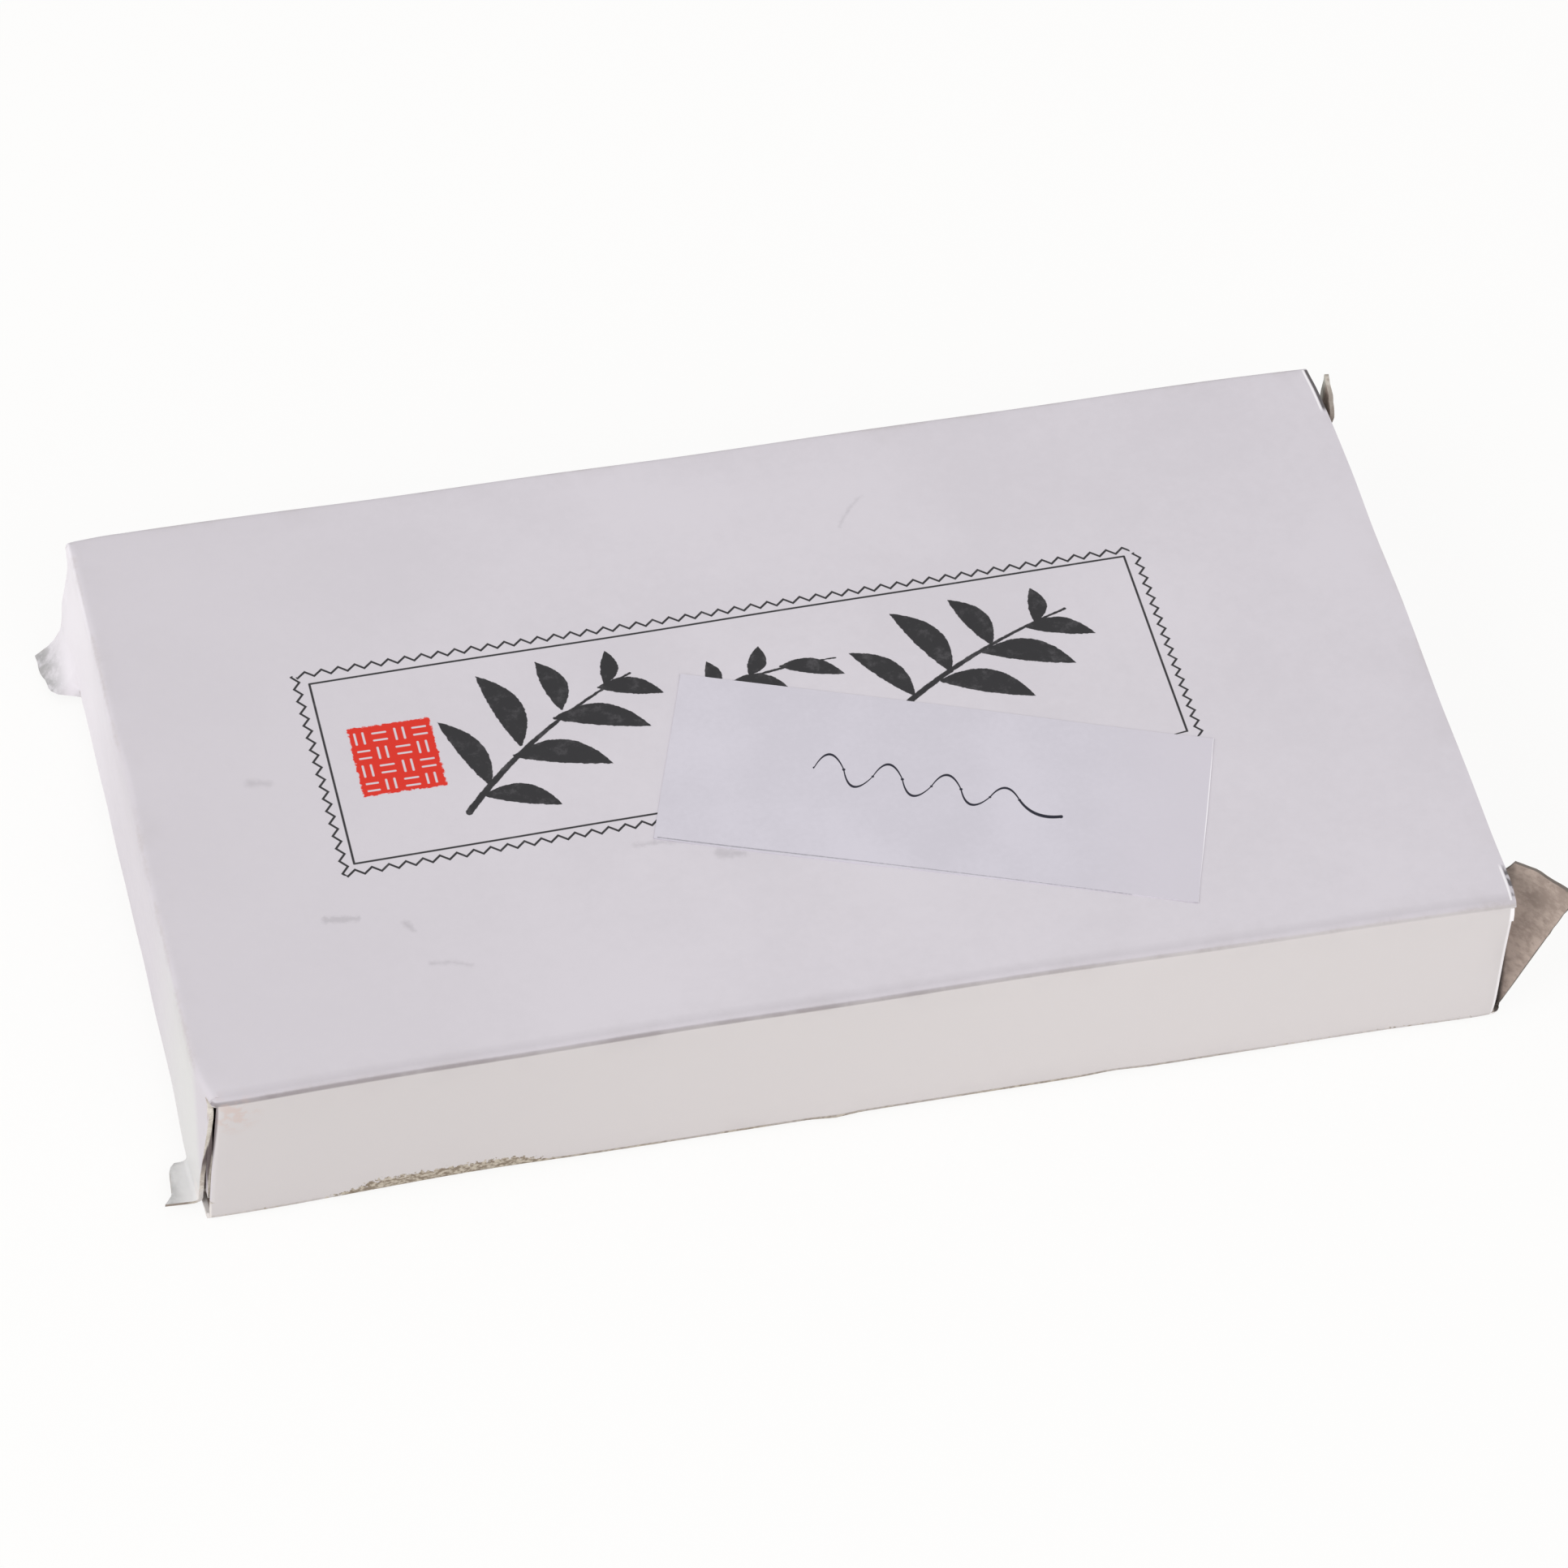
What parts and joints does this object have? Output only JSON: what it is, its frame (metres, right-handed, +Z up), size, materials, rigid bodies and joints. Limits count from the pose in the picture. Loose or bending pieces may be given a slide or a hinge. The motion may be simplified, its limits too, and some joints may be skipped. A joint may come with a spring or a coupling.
{
  "type": "boxed ink stone",
  "caption": "Worn white folding carton with a tuck lid at each end, holding a dark slab ink stone with a raised rim, a grinding hall and an ink well.",
  "frame": {"origin": "on the table, under the middle of the carton's bottom panel", "axes": "+X along the carton towards the lid that opens downwards, +Y from the front panel to the back panel, +Z up"},
  "size_m": [0.1536, 0.0802, 0.02],
  "materials": {
    "carton_board": "white clay-coated outside, grey-brown fibre inside, scuffed",
    "label_paper": "plain uncoated paper",
    "slate": "honed, finely ground"
  },
  "bodies": {
    "carton": {"top_panel": "carton_board", "front_panel": "carton_board", "bottom_panel": "carton_board", "back_panel": "carton_board", "glue_flap": "carton_board", "paper_label": "label_paper"},
    "left_lid": {"left_lid": "carton_board"},
    "left_tuck_flap": {"left_tuck_flap": "carton_board"},
    "right_lid": {"right_lid": "carton_board"},
    "right_tuck_flap": {"right_tuck_flap": "carton_board"},
    "left_front_dust_flap": {"left_front_dust_flap": "carton_board"},
    "left_back_dust_flap": {"left_back_dust_flap": "carton_board"},
    "right_front_dust_flap": {"right_front_dust_flap": "carton_board"},
    "right_back_dust_flap": {"right_back_dust_flap": "carton_board"},
    "ink_stone": {"ink_stone": "slate"}
  },
  "joints": [
    {"name": "right_lid_hinge", "type": "hinge", "parent": "carton", "child": "right_lid", "pos_m": [0.07155, 0, 0.00025], "axis": [0, 1, 0], "range_deg": [0, 90]},
    {"name": "right_tuck_fold", "type": "hinge", "parent": "right_lid", "child": "right_tuck_flap", "pos_m": [0.0713, 0, 0.0177], "axis": [0, 1, 0], "range_deg": [-56, 0]},
    {"name": "left_lid_hinge", "type": "hinge", "parent": "carton", "child": "left_lid", "pos_m": [-0.07155, 0, 0.01915], "axis": [0, 1, 0], "range_deg": [0, 110]},
    {"name": "left_tuck_fold", "type": "hinge", "parent": "left_lid", "child": "left_tuck_flap", "pos_m": [-0.0713, 0, 0.0017], "axis": [0, 1, 0], "range_deg": [-69, 0]},
    {"name": "right_front_dust_crease", "type": "hinge", "parent": "carton", "child": "right_front_dust_flap", "pos_m": [0.07075, -0.03975, 0.0088], "axis": [0, 0, 1], "range_deg": [0, 3]},
    {"name": "right_back_dust_crease", "type": "hinge", "parent": "carton", "child": "right_back_dust_flap", "pos_m": [0.07075, 0.03975, 0.0088], "axis": [0, 0, -1], "range_deg": [0, 3]},
    {"name": "left_front_dust_crease", "type": "hinge", "parent": "carton", "child": "left_front_dust_flap", "pos_m": [-0.07075, -0.03975, 0.0106], "axis": [0, 0, -1], "range_deg": [0, 3]},
    {"name": "left_back_dust_crease", "type": "hinge", "parent": "carton", "child": "left_back_dust_flap", "pos_m": [-0.07075, 0.03975, 0.0106], "axis": [0, 0, 1], "range_deg": [0, 3]},
    {"name": "stone_slide", "type": "slide", "parent": "carton", "child": "ink_stone", "axis": [1, 0, 0], "range_m": [-0.0015, 0.0015]}
  ],
  "couplings": [
    {"joint": "right_tuck_fold", "follows": "right_lid_hinge", "ratio": -0.62},
    {"joint": "left_tuck_fold", "follows": "left_lid_hinge", "ratio": -0.62}
  ]
}
